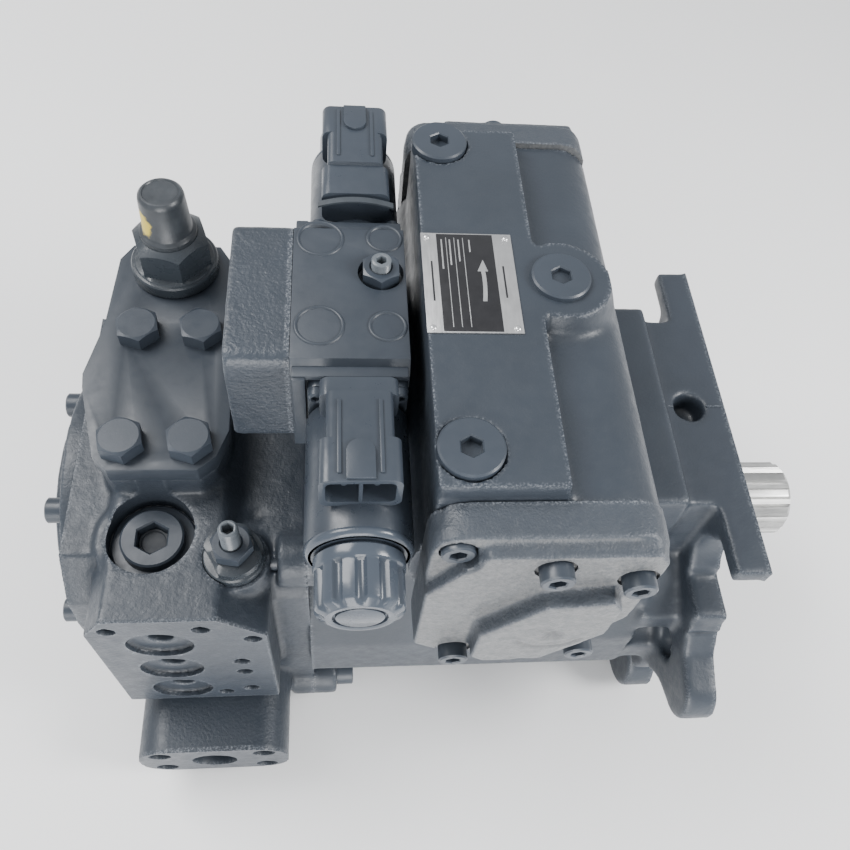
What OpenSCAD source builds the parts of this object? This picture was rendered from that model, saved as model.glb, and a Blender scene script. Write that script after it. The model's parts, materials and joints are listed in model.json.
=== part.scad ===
// Closed-circuit axial piston pump with swashplate, stroking cylinder and electric control.
// Millimetres. +X is the drive shaft pointing out of the pump, +Z is up, and the origin is
// the centre of the mounting face on the shaft axis.

/* [Rotating group] */
// Number of pistons in the cylinder barrel
piston_n = 9; // [7:2:9]
// Radius of the circle that the piston bores lie on
piston_pcr = 40.5; // [40:0.5:41]
// Bore of each cylinder
piston_bore = 22; // [20:1:22]
// Swashplate angle at full stroke, in degrees, used for the clearances
tilt_max = 18; // [12:1:18]
// Distance of the swashplate's tilt axis behind the mounting face
tilt_x = 75; // [74:1:76]

/* [Drive shaft] */
// Outside diameter of the splined shaft end
spline_d = 44.45; // [40:0.05:46]
// Number of spline teeth
spline_n = 13; // [12:1:16]
// How far the shaft stands out of the mounting face
shaft_out = 75; // [60:1:80]

/* [Mounting flange] */
// Diameter of the locating pilot
pilot_d = 127; // [120:0.5:130]
// Length of the locating pilot
pilot_len = 12.7; // [10:0.1:14]
// Distance between the two mounting holes
bolt_spacing = 181; // [176:1:186]
// Diameter of the mounting holes
bolt_hole_d = 17.5; // [14:0.5:18]
// Thickness of the flange plate at the mounting holes
flange_t = 17; // [14:1:20]

/* [Working ports] */
// Bore of each working port
work_port_d = 25; // [20:1:26]
// Diameter of the four screw holes round each working port
work_screw_d = 12; // [8:1:12]

/* [Solenoids] */
// Diameter of a solenoid coil
coil_d = 42; // [38:1:44]
// Length of a solenoid coil
coil_len = 56; // [50:1:58]

/* [Hidden] */
// smoothness of round faces
$fn = 64;
// running clearance between pieces that move past each other
gap = 0.3;
// radial gap of a running fit
fit = 0.05;

// ---- stations along the shaft, as X values
flange_block_x = -39;
housing_rear_x = -215;
cavity_front_x = -33;
barrel_front_x = -102;
barrel_rear_x = -200;
valve_plate_x = -206;
cover_rear_x = -328;
rear_cap_x = -347;
boost_front_x = -300;
boost_len = 18;

// ---- rotating group
ball_r = 7;
slip_r = 12.5;
slip_face = 9;
slip_disc = 4.5;
slip_lip = 3.5;
// the tilted ball circle is an ellipse seen along the shaft: the balls sit this much further out than
// the bores, so the sideways shift at full tilt is shared, and the pistons are slim enough for the rest
ball_shift = 1;
piston_r = piston_bore / 2 - 1.25;
piston_head = 13;
piston_len = 62;
barrel_r = 58;
shaft_r = 18;
rear_journal_r = 15;
boost_drive_r = 11;

// ---- swashplate and its lever
swash_r = 55;
swash_t = 13;
trunnion_r = 17;
trunnion_top = 82;
bearing_r = 24;
lever_len = 50;
lever_z = 84;
lever_t = 8;
pin_r = 6;

// ---- stroking cylinder
cyl_x = -tilt_x - lever_len;
cyl_z = 130;
cyl_r = 34;
cyl_half = 97;
cover_y = 118;
pad_y = 126;
pad_z = 196;
stroke_half = 70;
// the plugs on top of the stroking cylinder
plug_boss_r = 18;
pad_plugs = [[-153, -80], [-108, 3], [-154, 85]];

// ---- control block
ctl_z = 190;
ctl_bottom = 132;
ctl_x0 = -246;
ctl_split = -220;
ctl_x1 = -172.4;
ctl_y = 39;
adjuster = [-183, 10];
sol_x = -193;
sol_z = 160;
sol_flange = [40, 46];
coil_y = 50;

// ---- rear casting
top_z = 84;
plate_z = 106;
port_y = 105;
port_x = -283;
relief_x = -284.5;
relief_y = 78.5;
// the four screws of the cover plate
plate_bolts = [[-298.5, 35], [-268, 35], [-298.5, -29.5], [-268, -29.5]];
plate_t = 10;
gallery = [-287, -62];
cutoff = [-248, -74];
base_z = -104;
port_boss_y = 132;
work_port = [-270.5, -65];
// bolts that hold the rear casting to the housing, as Y and Z
cover_bolts = [[-70, 76], [70, 76], [-78, -82], [78, -82]];
lug_r = 13;
lug_t = 14;
cap_screw_r = 64;
// screw spacing of a one-inch split-flange port
work_pitch = [57.15, 27.76];

// ---- boost pump gears: outer gear teeth and tooth-form sizes
boost_n = 7;
boost_pcr = 32;
boost_tooth = 9;
boost_ecc = 3.2;

// ---- helpers -------------------------------------------------------------

// a cylinder along +X from x0 to x1
module rod_x(x0, x1, r) {
    translate([x0, 0, 0])
        rotate([0, 90, 0])
            cylinder(h = x1 - x0, r = r);
}

// a cylinder along +Y from y0 to y1
module rod_y(y0, y1, r) {
    translate([0, y0, 0])
        rotate([-90, 0, 0])
            cylinder(h = y1 - y0, r = r);
}

// a block from its low corner to its high corner
module block(lo, hi) {
    translate(lo)
        cube(hi - lo);
}

// an outline in the YZ plane, extruded from x0 to x1
module slab_x(x0, x1) {
    translate([x0, 0, 0])
        rotate([90, 0, 90])
            linear_extrude(height = x1 - x0)
                children();
}

// an outline in the XZ plane, extruded from y0 to y1
module slab_y(y0, y1) {
    translate([0, y1, 0])
        rotate([90, 0, 0])
            linear_extrude(height = y1 - y0)
                children();
}

// a rectangle with round corners, from its low corner to its high corner
module soft_rect(lo, hi, r) {
    translate([lo.x + r, lo.y])
        square([hi.x - lo.x - 2 * r, hi.y - lo.y]);
    translate([lo.x, lo.y + r])
        square([hi.x - lo.x, hi.y - lo.y - 2 * r]);
    for (x = [lo.x + r, hi.x - r])
        for (y = [lo.y + r, hi.y - r])
            translate([x, y])
                circle(r);
}

// the same on the near side and the far side
module both_sides() {
    children();
    mirror([0, 1, 0])
        children();
}

// a hexagon head of a given width across flats, standing on z = 0
module hex_head(af, h) {
    cylinder(h = h, r = af / sqrt(3), $fn = 6);
}

// a socket head with its hexagon socket, standing on z = 0
module socket_head(r, h, af) {
    difference() {
        cylinder(h = h, r = r);
        translate([0, 0, h * 0.4])
            cylinder(h = h, r = af / sqrt(3), $fn = 6);
    }
}

// the nine piston stations: n is 1 to piston_n
function station(n) = 360 / piston_n * (n - 1) + 90;
function station_yz(n) = piston_pcr * [cos(station(n)), sin(station(n))];
function ball_yz(n) = (piston_pcr + ball_shift) * [cos(station(n)), sin(station(n))];

// ---- housing -------------------------------------------------------------

// the flange seen along the shaft
module flange_outline() {
    difference() {
        union() {
            translate([-93, 94])
                square([186, 10]);
            translate([-70, base_z])
                square([140, 200]);
            polygon([
                [-94, 49], [94, 49], [97, 34], [106, 22], [118, 17],
                [118, -17], [106, -22], [94, -34], [88, -60],
                [-88, -60], [-94, -34], [-106, -22], [-118, -17],
                [-118, 17], [-106, 22], [-97, 34]
            ]);
            for (s = [-1, 1])
                translate([s * 116, 0])
                    circle(17);
            for (s = [-1, 1])
                translate([s * 70, -82])
                    circle(22);
        }
        for (s = [-1, 1])
            translate([s * 84, 71.5])
                circle(22.5);
        for (s = [-1, 1])
            translate([s * bolt_spacing / 2, 0])
                circle(bolt_hole_d / 2);
    }
}

// the barrel housing's section across the shaft
module housing_section() {
    polygon([
        [-90, -36], [-90, 6], [-72, 58], [-50, 84], [50, 84], [72, 58],
        [90, 6], [90, -36], [64, -84], [-64, -84]
    ]);
}

// the stroking cylinder housing's section along its own axis
module stroking_section() {
    translate([cyl_x, cyl_z])
        circle(47);
    polygon([[-166, 96], [-166, 186], [-96, 186], [-78, 168], [-74, 150], [-74, 118], [-92, 88]]);
    translate([-96, 166])
        circle(20);
}

// the way through for the lever, between the swashplate's space and the stroking cylinder
module lever_space() {
    block([cyl_x - 15, -32, trunnion_top], [-tilt_x + 20, 32, 100]);
}

module flange_and_neck() {
    difference() {
        union() {
            slab_x(-flange_t, 0)
                flange_outline();
            block([flange_block_x, -57, -60], [0, 57, 104]);
            slab_x(flange_block_x, -flange_t)
                polygon([
                    [-57, -60], [57, -60], [88, -36], [88, 30],
                    [57, 49], [-57, 49], [-88, 30], [-88, -36]
                ]);
            rod_x(-1, pilot_len, pilot_d / 2);
        }
        for (s = [-1, 1])
            translate([0, s * bolt_spacing / 2, 0])
                rod_x(flange_block_x - 1, -flange_t, 15);
        translate([-19, 0, 90])
            cylinder(h = 20, r = 8);
    }
}

module pump_housing() {
    color("#5f6b75")
    difference() {
        union() {
            slab_x(housing_rear_x, flange_block_x + 4)
                housing_section();
            flange_and_neck();
            slab_y(-cyl_half, cyl_half)
                stroking_section();
            slab_y(-cyl_half + 1, cyl_half - 1)
                translate([-166, 120])
                    square([49, pad_z - 120]);
            translate([pad_plugs[1].x, pad_plugs[1].y, 150])
                cylinder(h = pad_z - 150, r = plug_boss_r);
            block([-214, -34, 60], [-160, 34, ctl_bottom]);
            // lugs for the bolts of the rear casting
            for (p = cover_bolts)
                translate([0, p.x, p.y])
                    rod_x(housing_rear_x, housing_rear_x + lug_t, lug_r);
            // ribs from the cylinder housing down to the flange
            block([-84, -60, 60], [-34, 60, 112]);
        }
        // space for the barrel, then for the swashplate, the front bearing and the seal
        rod_x(housing_rear_x - 1, barrel_front_x + 4, 62);
        rod_x(-tilt_x - 24, cavity_front_x, 72);
        rod_x(cavity_front_x - 1, 0, 45);
        rod_x(-12, pilot_len + 1, 36);
        // swashplate bearings, stroking cylinder bore and the lever's way through
        translate([-tilt_x, 0, -trunnion_top])
            cylinder(h = 2 * trunnion_top, r = bearing_r);
        translate([cyl_x, 0, cyl_z])
            rod_y(-cyl_half - 1, cyl_half + 1, cyl_r);
        lever_space();
        for (p = cover_bolts)
            translate([0, p.x, p.y])
                rod_x(housing_rear_x - 1, housing_rear_x + lug_t + 1, 5.5);
        // plug seats
        for (p = pad_plugs)
            translate([p.x, p.y, pad_z - 3])
                cylinder(h = 10, r = 13.2);
        for (p = pad_plugs)
            translate([p.x, p.y, pad_z - 14])
                cylinder(h = 20, r = 8);
    }
}

// the two bearings that the swashplate's trunnions turn in
module swash_bearings() {
    color("#c2c6c8")
    for (z = [66, -81.5])
        translate([-tilt_x, 0, z])
            difference() {
                cylinder(h = 15.5, r = bearing_r - fit);
                translate([0, 0, -1])
                    cylinder(h = 18, r = trunnion_r + fit);
            }
}

// ---- rear casting --------------------------------------------------------

module port_drillings() {
    // three counterbored ports, one above the other
    for (z = [60, 24, -12])
        translate([port_x, 0, z]) {
            rod_y(-port_y - 1, -port_y + 3.5, 15.5);
            rod_y(-port_y - 1, -port_y + 24, 5.75);
        }
    for (p = [[-303, 80], [-262, 80], [-240, 66], [-248, 32], [-248, 15], [-247, -15], [-261, -21]])
        translate([p.x, 0, p.y])
            rod_y(-port_y - 1, -port_y + 16, 4);
}

module end_cover() {
    color("#5a6670")
    difference() {
        union() {
            rod_x(valve_plate_x - 12, valve_plate_x, 61.8);
            slab_x(cover_rear_x, housing_rear_x)
                polygon([
                    [-84, -70], [-84, 60], [-70, top_z], [70, top_z], [84, 60],
                    [84, -70], [60, base_z], [-60, base_z]
                ]);
            // near port block
            slab_y(-port_y, 0)
                polygon([
                    [-314, -32], [-314, 76], [-304, top_z + 8], [-254, top_z + 8],
                    [-233, 70], [-233, -32]
                ]);
            // far port block
            block([-314, 0, -32], [-233, port_y, 70]);
            // low bosses for the two working ports
            both_sides()
                slab_y(-port_boss_y, 0)
                    soft_rect([-312, -88], [-229, -42], 18);
            // platform under the cover plate and the relief valve
            translate([0, 0, 60])
                linear_extrude(height = plate_z - 60)
                    polygon([
                        [-307, 93], [-313, 84], [-315, 40], [-320, 10], [-320, 0], [-310, -35], [-304, -42],
                        [-264, -42], [-257, -36], [-252, -22], [-254, 57], [-258, 84], [-264, 93]
                    ]);
            translate([relief_x, relief_y, 60])
                cylinder(h = plate_z - 60, r = 22);
            // bosses for the gallery plug and the cut-off valve
            translate([gallery.x, gallery.y, 60])
                cylinder(h = 27, r = 26);
            translate([cutoff.x, cutoff.y, 50])
                cylinder(h = 38, r = 16);
            // lugs for the bolts
            for (p = cover_bolts)
                translate([0, p.x, p.y])
                    rod_x(housing_rear_x - lug_t, housing_rear_x, lug_r);
        }
        // plug seat, adjuster seat and a shallow casting dimple
        translate([gallery.x, gallery.y, 78])
            cylinder(h = 20, r = 20.4);
        translate([cutoff.x, cutoff.y, 78])
            cylinder(h = 20, r = 12.2);
        translate([cutoff.x, cutoff.y, 88])
            cylinder(h = 20, r = 14.4);
        translate([-240, -50, top_z + 6])
            sphere(8);
        // relief valve thread and cover plate screw holes
        translate([relief_x, relief_y, 70])
            cylinder(h = 60, r = 12.2);
        for (p = plate_bolts)
            translate([p.x, p.y, plate_z - 20])
                cylinder(h = 30, r = 6.1);
        for (p = cover_bolts)
            translate([0, p.x, p.y])
                rod_x(housing_rear_x - 19.5, housing_rear_x + 1, 5.1);
        for (a = [30 : 60 : 359])
            rotate([a, 0, 0])
                translate([0, 0, cap_screw_r])
                    rod_x(cover_rear_x - 1, cover_rear_x + 13, 4.1);
        port_drillings();
        both_sides()
            translate([work_port.x, 0, work_port.y]) {
                rod_y(-port_boss_y - 1, -60, work_port_d / 2);
                for (x = [-1, 1])
                    for (z = [-1, 1])
                        translate([x * work_pitch.x / 2, 0, z * work_pitch.y / 2])
                            rod_y(-port_boss_y - 1, -port_boss_y + 22, work_screw_d / 2);
            }
        // shaft bore, rear bearing and boost pump pocket
        rod_x(cover_rear_x - 1, valve_plate_x + 1, 13);
        rod_x(-236, valve_plate_x + 1, rear_journal_r + fit);
        rod_x(cover_rear_x - 1, boost_front_x - gap, 41);
    }
}

module rear_cap() {
    color("#59646e")
    difference() {
        union() {
            rod_x(rear_cap_x + 8, cover_rear_x, 74);
            rod_x(rear_cap_x, rear_cap_x + 8, 54);
        }
        rod_x(cover_rear_x - 8, cover_rear_x + 1, 13);
        for (a = [30 : 60 : 359])
            rotate([a, 0, 0])
                translate([0, 0, cap_screw_r])
                    rod_x(rear_cap_x, cover_rear_x + 1, 4.1);
    }
}

module rear_cap_screws() {
    color("#4c565f")
    for (a = [30 : 60 : 359])
        rotate([a, 0, 0])
            translate([0, 0, cap_screw_r]) {
                translate([rear_cap_x + 8, 0, 0])
                    rotate([0, -90, 0])
                        socket_head(6.5, 8, 6);
                rod_x(rear_cap_x + 7.9, cover_rear_x + 12, 4);
            }
}

module end_cover_bolts() {
    color("#4c565f")
    for (p = cover_bolts)
        translate([0, p.x, p.y]) {
            translate([housing_rear_x + lug_t, 0, 0])
                rotate([0, 90, 0])
                    socket_head(8, 10, 8);
            rod_x(housing_rear_x - 19, housing_rear_x + lug_t + 0.1, 5);
        }
}

module cover_plate() {
    color("#626e78")
    difference() {
        translate([0, 0, plate_z]) {
            linear_extrude(height = plate_t)
                polygon([
                    [-308, 94], [-314, 84], [-316, 40], [-322, 10], [-321, 2], [-311, -36], [-304, -43],
                    [-264, -43], [-256, -36], [-251, -22], [-253, 57], [-257, 84], [-263, 94]
                ]);
            translate([relief_x, relief_y, 0])
                cylinder(h = plate_t, r = 23);
        }
        for (p = plate_bolts)
            translate([p.x, p.y, plate_z - 1])
                cylinder(h = plate_t + 2, r = 6.1);
        translate([relief_x, relief_y, plate_z - 1])
            cylinder(h = plate_t + 2, r = 12.2);
    }
}

module cover_plate_bolts() {
    color("#56616b")
    for (p = plate_bolts)
        translate([p.x, p.y, plate_z + plate_t]) {
            rotate([0, 0, 12])
                hex_head(19, 8);
            translate([0, 0, -26])
                cylinder(h = 26.5, r = 6);
        }
}

module relief_valve_body() {
    color("#4d575f")
    translate([relief_x, relief_y, 0]) {
        translate([0, 0, 74])
            cylinder(h = 44, r = 12);
        translate([0, 0, plate_z + plate_t])
            cylinder(h = 7.5, r = 22);
        translate([0, 0, plate_z + plate_t + 7.5])
            rotate([0, 0, 18])
                hex_head(34, 18.5);
    }
}

module relief_valve_cap() {
    color("#4d575f")
    translate([relief_x, relief_y, plate_z + plate_t + 26]) {
        cylinder(h = 3, r = 14);
        translate([0, 0, 3])
            cylinder(h = 23, r1 = 12, r2 = 11);
    }
}

module gallery_plug() {
    color("#56616b")
    translate([gallery.x, gallery.y, 78])
        difference() {
            cylinder(h = 8, r = 20);
            translate([0, 0, 1])
                cylinder(h = 9, r = 8, $fn = 6);
        }
}

module cutoff_valve_body() {
    color("#56616b")
    translate([cutoff.x, cutoff.y, 0])
        difference() {
            union() {
                translate([0, 0, 78])
                    cylinder(h = 10, r = 12);
                translate([0, 0, 88])
                    cylinder(h = 5, r = 14);
                translate([0, 0, 93])
                    hex_head(22, 6);
            }
            translate([0, 0, 80])
                cylinder(h = 30, r = 4.5);
        }
}

module cutoff_adjuster_nut() {
    color("#4c565f")
    translate([cutoff.x, cutoff.y, 99])
        difference() {
            rotate([0, 0, 20])
                hex_head(17, 7);
            translate([0, 0, -1])
                cylinder(h = 9, r = 4.5);
        }
}

module cutoff_adjuster_stud() {
    color("#7d858b")
    translate([cutoff.x, cutoff.y, 82])
        difference() {
            cylinder(h = 38, r = 4.5 - fit);
            translate([0, 0, 30])
                cylinder(h = 9, r = 2.6, $fn = 6);
        }
}

// ---- stroking covers, plugs and nameplate --------------------------------

// screw places on a stroking cover, as X, Z and how far the head stands back
function cover_screws() = [[-158, 178, 6], [-122, 174, -4], [-88, 164, -4], [-150, 86, -4], [-94, 90, -4]];

module stroking_cover() {
    difference() {
        union() {
            slab_y(-cover_y + 6, -cyl_half - gap)
                soft_rect([-168, 78], [-78, 188], 14);
            slab_y(-cover_y, -cyl_half - gap)
                polygon([
                    [-168, 92], [-168, 150], [-148, 184], [-84, 184],
                    [-79, 176], [-79, 120], [-98, 82], [-156, 82]
                ]);
            slab_y(-pad_y, -cyl_half - gap)
                polygon([
                    [-144, 96], [-144, 124], [-122, 154], [-96, 158],
                    [-91, 150], [-91, 122], [-112, 92], [-138, 90]
                ]);
        }
        translate([cyl_x, 0, cyl_z])
            rod_y(-cyl_half - 8, -cyl_half + 1, cyl_r - 1);
        for (p = cover_screws()) {
            translate([p.x, 0, p.y])
                rod_y(-pad_y - 1, -cyl_half + 1, 4.3);
            translate([p.x, 0, p.y])
                rod_y(-pad_y - 1, -cover_y + 6 + p.z, 8);
        }
    }
}

module near_stroking_cover() {
    color("#8b939a")
        stroking_cover();
}

module far_stroking_cover() {
    color("#8b939a")
        mirror([0, 1, 0])
            stroking_cover();
}

module stroking_cover_screws() {
    color("#6a737b")
    both_sides()
        for (p = cover_screws())
            translate([p.x, -cover_y + 6 + p.z, p.y])
                rotate([90, 0, 0])
                    socket_head(6.5, 8, 6);
}

module pressure_port_plugs() {
    color("#626e78")
    for (p = pad_plugs)
        translate([p.x, p.y, pad_z - 3])
            socket_head(12.7, 5.5, 8);
}

module nameplate() {
    color("#b8bdc1")
        block([-166, -27, pad_z], [-127, 27, pad_z + 0.8]);
}

module nameplate_rivets() {
    color("#9aa0a5")
    for (x = [-163.5, -129.5])
        for (y = [-24.5, 24.5])
            translate([x, y, pad_z + 0.8])
                cylinder(h = 0.8, r = 1.4);
}

// ---- control -------------------------------------------------------------

module control_rear_block() {
    color("#5b6771")
    difference() {
        slab_x(ctl_x0, ctl_split)
            translate([-36, ctl_bottom])
                soft_rect([0, 0], [74, ctl_z - ctl_bottom], 5);
        translate([0, 0, sol_z])
            rod_x(ctl_split - 12, ctl_split + 1, 14);
    }
}

module control_valve_body() {
    color("#65717b")
    difference() {
        slab_x(ctl_split + 0.2, ctl_x1)
            polygon([
                [-ctl_y, ctl_bottom], [ctl_y, ctl_bottom], [ctl_y, ctl_z - 4], [ctl_y - 4, ctl_z],
                [4 - ctl_y, ctl_z], [-ctl_y, ctl_z - 6]
            ]);
        translate([sol_x, 0, sol_z])
            rod_y(-ctl_y - 1, ctl_y + 1, 8);
        both_sides()
            translate([sol_x, 0, sol_z])
                rod_y(-ctl_y - 1, -ctl_y + 10, 14);
        translate([adjuster.x, adjuster.y, ctl_z - 5])
            cylinder(h = 6, r = 9.6);
        translate([adjuster.x, adjuster.y, sol_z + 12])
            cylinder(h = 40, r = 4.2);
    }
}

module neutral_adjuster_nut() {
    color("#5c666f")
    translate([adjuster.x, adjuster.y, ctl_z - 5])
        difference() {
            hex_head(15, 9);
            translate([0, 0, -1])
                cylinder(h = 12, r = 4.2);
        }
}

module neutral_adjuster_stud() {
    color("#9aa1a6")
    translate([adjuster.x, adjuster.y, sol_z + 14])
        difference() {
            cylinder(h = ctl_z + 8 - sol_z - 14, r = 4.2 - fit);
            translate([0, 0, 18])
                cylinder(h = 30, r = 2.2);
        }
}

module solenoid_coil() {
    difference() {
        translate([sol_x, 0, sol_z]) {
            rod_y(-ctl_y - 8, -ctl_y - gap, 17);
            rod_y(-coil_y - coil_len + 3, -ctl_y - 8, coil_d / 2);
            rod_y(-coil_y - coil_len, -coil_y - coil_len + 3, coil_d / 2 - 1.5);
        }
        translate([sol_x, 0, sol_z])
            rod_y(-coil_y - coil_len - 1, -ctl_y + 1, 8 + fit);
    }
    slab_y(-ctl_y - 5, -ctl_y - gap)
        difference() {
            translate([sol_x - sol_flange.x / 2, ctl_bottom + 6])
                soft_rect([0, 0], sol_flange, 4);
            translate([sol_x, sol_z])
                circle(17);
        }
}

module near_solenoid_coil() {
    color("#6c767e")
        solenoid_coil();
}

module far_solenoid_coil() {
    color("#6c767e")
        mirror([0, 1, 0])
            solenoid_coil();
}

// the plug housing on the coil's top, its mouth pointing away from the pump's middle
module connector(mouth_at, foot_at) {
    low = sol_z + coil_d / 2 - 1.5;
    difference() {
        union() {
            slab_y(mouth_at, mouth_at + 18)
                translate([sol_x - 15, low])
                    soft_rect([0, 0], [30, 19], 4);
            slab_y(mouth_at + 18, mouth_at + 38)
                translate([sol_x - 12.5, low])
                    soft_rect([0, 0], [25, 19], 3);
            slab_y(mouth_at + 38, foot_at)
                translate([sol_x - 15, low])
                    soft_rect([0, 0], [30, 17], 4);
        }
        slab_y(mouth_at - 1, mouth_at + 15)
            difference() {
                translate([sol_x - 12.6, low + 3])
                    soft_rect([0, 0], [25.2, 13.6], 2.5);
                translate([sol_x - 0.7, low])
                    square([1.4, 20]);
            }
        translate([sol_x, 0, sol_z])
            rod_y(mouth_at - 1, foot_at + 1, coil_d / 2 + 0.02);
    }
    for (x = [-6, 6])
        translate([sol_x + x, 0, low + 9])
            rod_y(mouth_at + 4, mouth_at + 15.5, 1);
}

module near_connector() {
    color("#4f5a63")
        connector(-94, -48.4);
}

module far_connector() {
    color("#4f5a63")
        mirror([0, 1, 0])
            connector(-106, -50);
}

module coil_nut() {
    y = -coil_y - coil_len;
    difference() {
        union() {
            translate([sol_x, 0, sol_z]) {
                rod_y(y - 19, y - 0.1, 16);
                rod_y(y - 24, y - 19, 13);
                for (k = [0 : 11])
                    rotate([0, k * 30, 0])
                        translate([0, 0, 15])
                            rod_y(y - 19, y - 4, 2.6);
            }
        }
        translate([sol_x, 0, sol_z])
            rod_y(y - 25, y - 22, 10);
        translate([sol_x, 0, sol_z])
            rod_y(y - 15, y + 1, 8);
    }
}

module near_coil_nut() {
    color("#7a848c")
        coil_nut();
}

module far_coil_nut() {
    color("#7a848c")
        mirror([0, 1, 0])
            coil_nut();
}

module solenoid_flange_screws() {
    color("#7a848c")
    both_sides()
        for (x = [-1, 1])
            for (z = [-1, 1])
                translate([sol_x + x * 16.5, -ctl_y - 5, ctl_bottom + 6 + sol_flange.y / 2 + z * 19.3])
                    rotate([90, 0, 0])
                        socket_head(3.2, 4, 3);
}

// the spool with the two plungers that push it
module control_spool() {
    color("#a4abb0")
    translate([sol_x, 0, sol_z]) {
        rod_y(-30, 30, 5);
        for (y = [-24, -8, 14])
            rod_y(y, y + 10, 8 - fit);
        both_sides()
            rod_y(-coil_y - coil_len + 6, -30, 3);
        both_sides()
            rod_y(-coil_y - coil_len + 10, -ctl_y - 16, 7);
    }
}

// ---- drive shaft and rotating group --------------------------------------

module spline_outline() {
    root = spline_d / 2 - 3;
    circle(root);
    for (k = [0 : spline_n - 1])
        rotate([0, 0, k * 360 / spline_n])
            polygon([[root - 1, -3.4], [spline_d / 2, -2.1], [spline_d / 2, 2.1], [root - 1, 3.4]]);
}

module drive_shaft() {
    color("#b9bdbf")
    union() {
        intersection() {
            slab_x(pilot_len + 6, shaft_out)
                spline_outline();
            union() {
                rod_x(pilot_len, shaft_out - 3, 30);
                translate([shaft_out - 3, 0, 0])
                    rotate([0, 90, 0])
                        cylinder(h = 3, r1 = spline_d / 2, r2 = spline_d / 2 - 3);
            }
        }
        rod_x(-12, pilot_len + 6, 22);
        rod_x(-34, -12, 22.5);
        rod_x(-42, -34, 26);
        rod_x(barrel_rear_x - 4, -42, shaft_r);
        rod_x(-236, barrel_rear_x - 4, rear_journal_r);
        rod_x(boost_front_x - boost_len - 4, -236, boost_drive_r);
    }
}

module front_bearing() {
    color("#c2c6c8")
    difference() {
        rod_x(-33.5, -12.5, 45 - fit);
        rod_x(-34, -12, 22.5 + fit);
    }
}

module shaft_seal() {
    color("#26282a")
    difference() {
        rod_x(0, 9, 36 - fit);
        rod_x(-1, 10, 22 + fit);
    }
}

module cylinder_barrel() {
    color("#9ba2a7")
    difference() {
        union() {
            rod_x(barrel_rear_x, barrel_front_x, barrel_r);
            rod_x(barrel_front_x - 1, barrel_front_x + 6, 26);
        }
        rod_x(barrel_rear_x - 1, barrel_front_x + 8, shaft_r + fit);
        for (n = [1 : piston_n])
            translate([0, station_yz(n).x, station_yz(n).y]) {
                rod_x(barrel_rear_x + 18, barrel_front_x + 1, piston_bore / 2);
                rod_x(barrel_rear_x - 1, barrel_rear_x + 19, 6);
            }
    }
}

module valve_plate() {
    color("#b6a46a")
    difference() {
        rod_x(valve_plate_x + 0.1, barrel_rear_x - gap, 56);
        rod_x(valve_plate_x - 1, barrel_rear_x + 1, shaft_r + 1);
        for (side = [0, 180])
            rotate([side, 0, 0])
                for (a = [-60 : 15 : 60])
                    rotate([a, 0, 0])
                        translate([0, piston_pcr, 0])
                            rod_x(valve_plate_x - 1, barrel_rear_x + 1, 6);
    }
}

module swashplate() {
    color("#8d9499")
    translate([-tilt_x, 0, 0])
        difference() {
            union() {
                rod_x(slip_face + gap, slip_face + swash_t, swash_r);
                block([slip_face + gap, -trunnion_r, -65], [slip_face + swash_t, trunnion_r, 65]);
                for (s = [-1, 1])
                    block(
                        [-12, -trunnion_r, s * 60.5 - 4.5],
                        [slip_face + swash_t, trunnion_r, s * 60.5 + 4.5]
                    );
                translate([0, 0, -trunnion_top + 1])
                    cylinder(h = trunnion_top - 58, r = trunnion_r);
                translate([0, 0, 57])
                    cylinder(h = lever_z - 57, r = trunnion_r);
                // lever on the upper trunnion, with the pin that moves the stroking piston
                translate([0, 0, lever_z])
                    cylinder(h = lever_t, r = 14);
                block([-lever_len, -8, lever_z], [0, 8, lever_z + lever_t]);
                translate([-lever_len, 0, lever_z])
                    cylinder(h = lever_t, r = 10);
                translate([-lever_len, 0, lever_z + 1])
                    cylinder(h = 27, r = pin_r);
            }
            translate([slip_face, 0, 0])
                rotate([0, 90, 0])
                    cylinder(h = swash_t + 1, r1 = 23, r2 = 30);
        }
}

module slipper_retainer() {
    color("#a8aeb2")
    translate([-tilt_x, 0, 0])
        difference() {
            rod_x(0.5, slip_disc - gap, 54);
            rod_x(-1, slip_face, 27);
            for (n = [1 : piston_n])
                translate([0, ball_yz(n).x, ball_yz(n).y])
                    rod_x(-1, slip_face, slip_lip + 6);
        }
}

// the slipper's half section: its socket is a round of short steps about the ball's centre
function socket_point(a) = (ball_r + gap) * [sin(a), cos(a)];
lip_angle = 180 - acos(slip_lip / (ball_r + gap));

module slipper(n) {
    color("#b08d4a")
    translate([-tilt_x, ball_yz(n).x, ball_yz(n).y])
        rotate([0, 90, 0])
            rotate_extrude()
                polygon(concat(
                    [
                        [0, slip_face], [slip_r, slip_face], [slip_r, slip_disc],
                        [9, slip_disc], [9, -slip_lip]
                    ],
                    [for (k = [0 : 8]) socket_point(lip_angle * (1 - k / 8))]
                ));
}

module piston(n) {
    color("#aab0b4")
    translate([-tilt_x, ball_yz(n).x, ball_yz(n).y]) {
        sphere(ball_r);
        rod_x(-piston_head - 1, -4, 4.4);
        difference() {
            rod_x(-piston_head - piston_len, -piston_head, piston_r);
            rod_x(-piston_head - piston_len - 1, -piston_head - 14, piston_r - 4);
        }
    }
}

module stroking_piston() {
    color("#a4abb0")
    translate([cyl_x, 0, cyl_z])
        difference() {
            rod_y(-stroke_half, stroke_half, cyl_r - fit);
            both_sides()
                rod_y(-stroke_half - 1, -stroke_half + 28, cyl_r - 8);
            block([-pin_r - 2, -pin_r - 0.6, -cyl_r - 1], [pin_r + 4.5, pin_r + 0.6, -14]);
        }
}

// ---- boost pump ----------------------------------------------------------

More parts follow.
